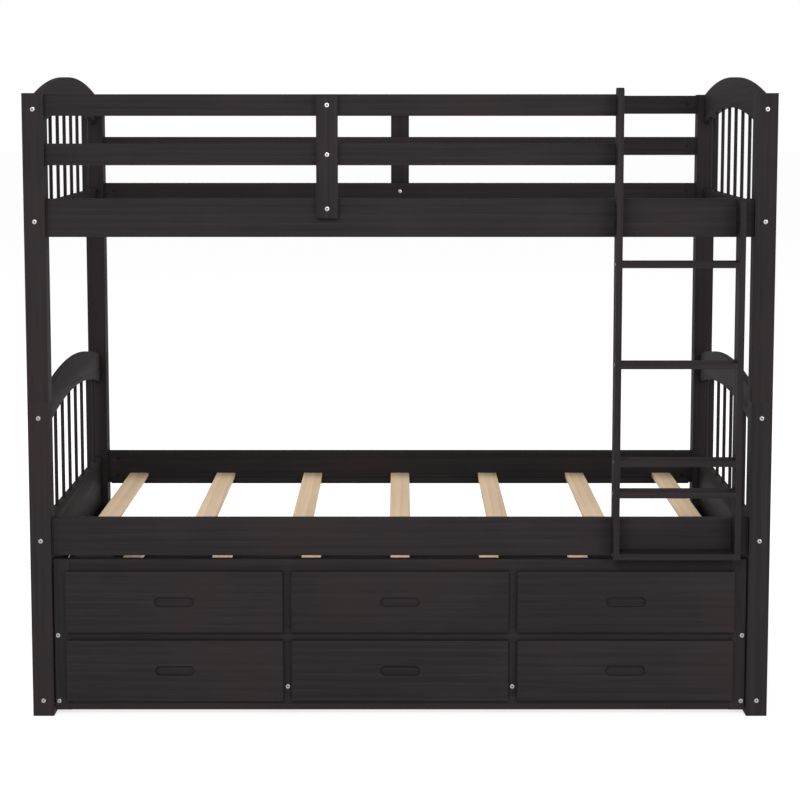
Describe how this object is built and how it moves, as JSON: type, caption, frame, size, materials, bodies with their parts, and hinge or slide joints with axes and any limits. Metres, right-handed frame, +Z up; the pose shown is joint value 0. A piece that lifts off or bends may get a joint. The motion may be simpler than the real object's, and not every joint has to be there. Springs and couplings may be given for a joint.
{
  "type": "bunk bed with ladder",
  "caption": "Twin bunk bed in dark espresso wood with arched spindle ends, guard rails, a fixed front ladder and a roll-out trundle with drawers under false fronts.",
  "frame": {"origin": "on the floor, at the middle of the whole object's bounding box", "axes": "+X along the beds to the right as seen from the ladder side, +Y from the ladder side to the back, +Z up"},
  "size_m": [2.02, 1.117, 1.756],
  "materials": {
    "espresso_wood": "dark espresso stain under satin lacquer, faint straight grain",
    "pine_wood": "pale bare pine, planed",
    "nickel_bolts": "bright nickel-plated bolt heads",
    "steel_hardware": "zinc-plated steel",
    "caster_wheels": "black moulded plastic"
  },
  "bodies": {
    "bed_frame": {"lower_post_front_left": "espresso_wood", "lower_post_front_right": "espresso_wood", "lower_post_rear_left": "espresso_wood", "lower_post_rear_right": "espresso_wood", "upper_post_front_left": "espresso_wood", "upper_post_front_right": "espresso_wood", "upper_post_rear_left": "espresso_wood", "upper_post_rear_right": "espresso_wood", "upper_arch_left": "espresso_wood", "upper_arch_right": "espresso_wood", "lower_arch_left": "espresso_wood", "lower_arch_right": "espresso_wood", "upper_cross_rail_left": "espresso_wood", "upper_cross_rail_right": "espresso_wood", "lower_cross_rail_left": "espresso_wood", "lower_cross_rail_right": "espresso_wood", "floor_stretchers": "espresso_wood", "upper_spindles": "espresso_wood", "lower_spindles": "espresso_wood", "upper_rail_front": "espresso_wood", "upper_rail_rear": "espresso_wood", "lower_rail_front": "espresso_wood", "lower_rail_rear": "espresso_wood", "guard_top_front": "espresso_wood", "guard_mid_front": "espresso_wood", "guard_top_rear": "espresso_wood", "guard_mid_rear": "espresso_wood", "guard_supports": "espresso_wood", "bed_cleats": "espresso_wood", "upper_slats": "pine_wood", "lower_slats": "pine_wood", "frame_bolts": "nickel_bolts", "pins_and_barrel_nuts": "steel_hardware", "guard_bolts_and_caps": "nickel_bolts", "ladder_rail_left": "espresso_wood", "ladder_rail_right": "espresso_wood", "ladder_treads": "espresso_wood", "ladder_bolts": "nickel_bolts"},
    "trundle": {"trundle_sides": "espresso_wood", "trundle_back_rails": "espresso_wood", "trundle_stiles": "espresso_wood", "trundle_front_rails": "espresso_wood", "trundle_dividers": "espresso_wood", "trundle_false_fronts": "espresso_wood", "trundle_partitions": "espresso_wood", "trundle_cleats": "espresso_wood", "trundle_slats": "pine_wood", "trundle_screws": "nickel_bolts", "drawer_runners": "pine_wood", "caster_brackets": "steel_hardware"},
    "drawer_left": {"drawer_front_left": "espresso_wood", "drawer_box_left": "pine_wood"},
    "drawer_centre": {"drawer_front_centre": "espresso_wood", "drawer_box_centre": "pine_wood"},
    "drawer_right": {"drawer_front_right": "espresso_wood", "drawer_box_right": "pine_wood"},
    "caster_front_left": {"caster_front_left": "caster_wheels"},
    "caster_front_right": {"caster_front_right": "caster_wheels"},
    "caster_rear_left": {"caster_rear_left": "caster_wheels"},
    "caster_rear_right": {"caster_rear_right": "caster_wheels"}
  },
  "joints": [
    {"name": "trundle_slide", "type": "slide", "parent": "bed_frame", "child": "trundle", "axis": [0, -1, 0], "range_m": [0, 1]},
    {"name": "drawer_left_slide", "type": "slide", "parent": "trundle", "child": "drawer_left", "axis": [0, -1, 0], "range_m": [0, 0.36]},
    {"name": "drawer_centre_slide", "type": "slide", "parent": "trundle", "child": "drawer_centre", "axis": [0, -1, 0], "range_m": [0, 0.36]},
    {"name": "drawer_right_slide", "type": "slide", "parent": "trundle", "child": "drawer_right", "axis": [0, -1, 0], "range_m": [0, 0.36]},
    {"name": "caster_front_left_spin", "type": "hinge", "parent": "trundle", "child": "caster_front_left", "pos_m": [-0.9201, -0.4105, 0.022], "axis": [1, 0, 0], "continuous": true},
    {"name": "caster_front_right_spin", "type": "hinge", "parent": "trundle", "child": "caster_front_right", "pos_m": [0.9201, -0.4105, 0.022], "axis": [1, 0, 0], "continuous": true},
    {"name": "caster_rear_left_spin", "type": "hinge", "parent": "trundle", "child": "caster_rear_left", "pos_m": [-0.9201, 0.4505, 0.022], "axis": [1, 0, 0], "continuous": true},
    {"name": "caster_rear_right_spin", "type": "hinge", "parent": "trundle", "child": "caster_rear_right", "pos_m": [0.9201, 0.4505, 0.022], "axis": [1, 0, 0], "continuous": true}
  ],
  "couplings": [
    {"joint": "caster_front_left_spin", "follows": "trundle_slide", "rad_per_m": 45.872},
    {"joint": "caster_front_right_spin", "follows": "trundle_slide", "rad_per_m": 45.872},
    {"joint": "caster_rear_left_spin", "follows": "trundle_slide", "rad_per_m": 45.872},
    {"joint": "caster_rear_right_spin", "follows": "trundle_slide", "rad_per_m": 45.872}
  ]
}
